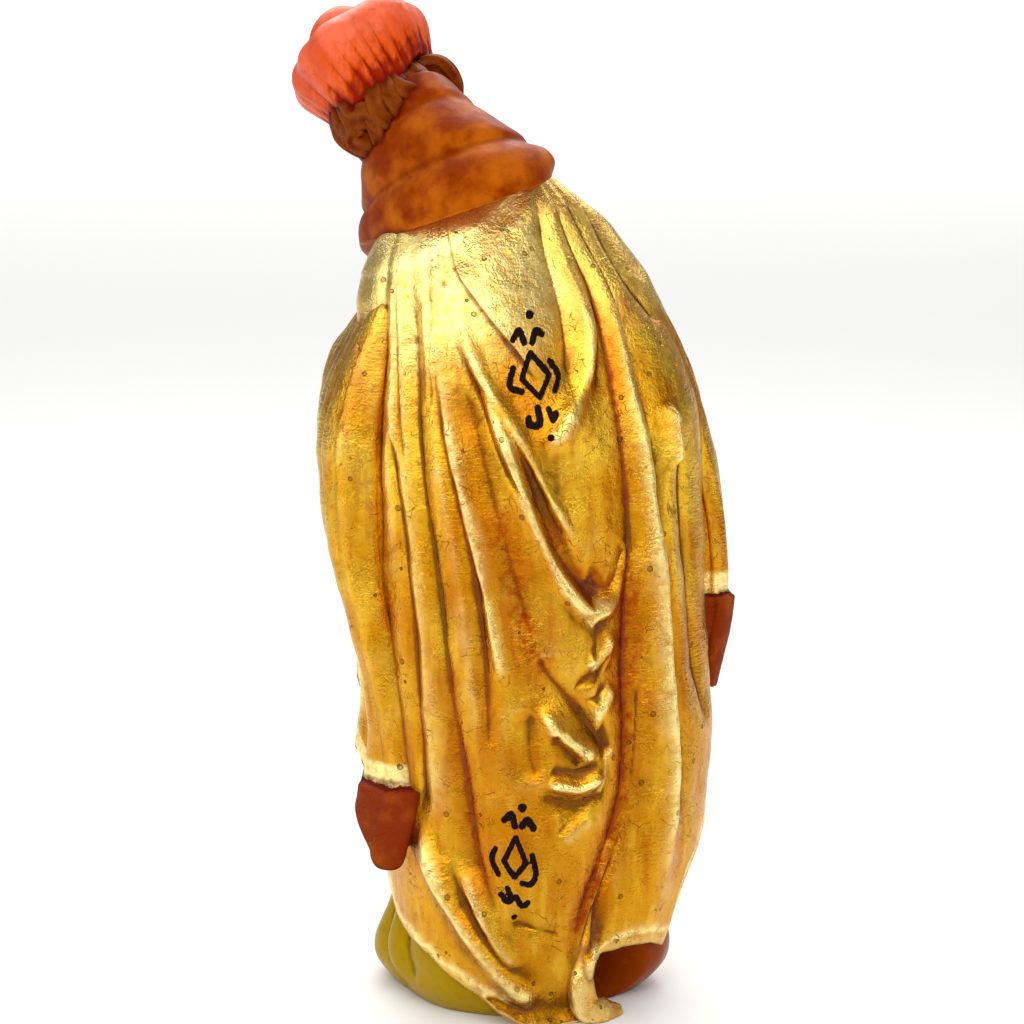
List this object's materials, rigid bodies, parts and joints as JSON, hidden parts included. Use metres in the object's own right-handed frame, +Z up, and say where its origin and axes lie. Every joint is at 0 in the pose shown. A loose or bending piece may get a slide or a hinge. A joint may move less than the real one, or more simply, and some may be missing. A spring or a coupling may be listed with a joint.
{
  "type": "nativity figure",
  "caption": "Bowing wise man in a turban, a fur collar and a long open mantle with wide fur-edged sleeves, who holds a small chest; he stands on the trailing hem.",
  "frame": {"origin": "centre of the figure's outline seen from above, on the ground it stands on", "axes": "+Z up, the figure faces -Y, its left hand is towards +X"},
  "size_m": [0.0858, 0.0804, 0.2001],
  "materials": {
    "gilding": "cast composition under antiqued metal leaf, with the collar, cuffs, turban, hair, face, hands and under-robe painted"
  },
  "bodies": {
    "root": {"wise_man": "gilding"}
  },
  "joints": []
}
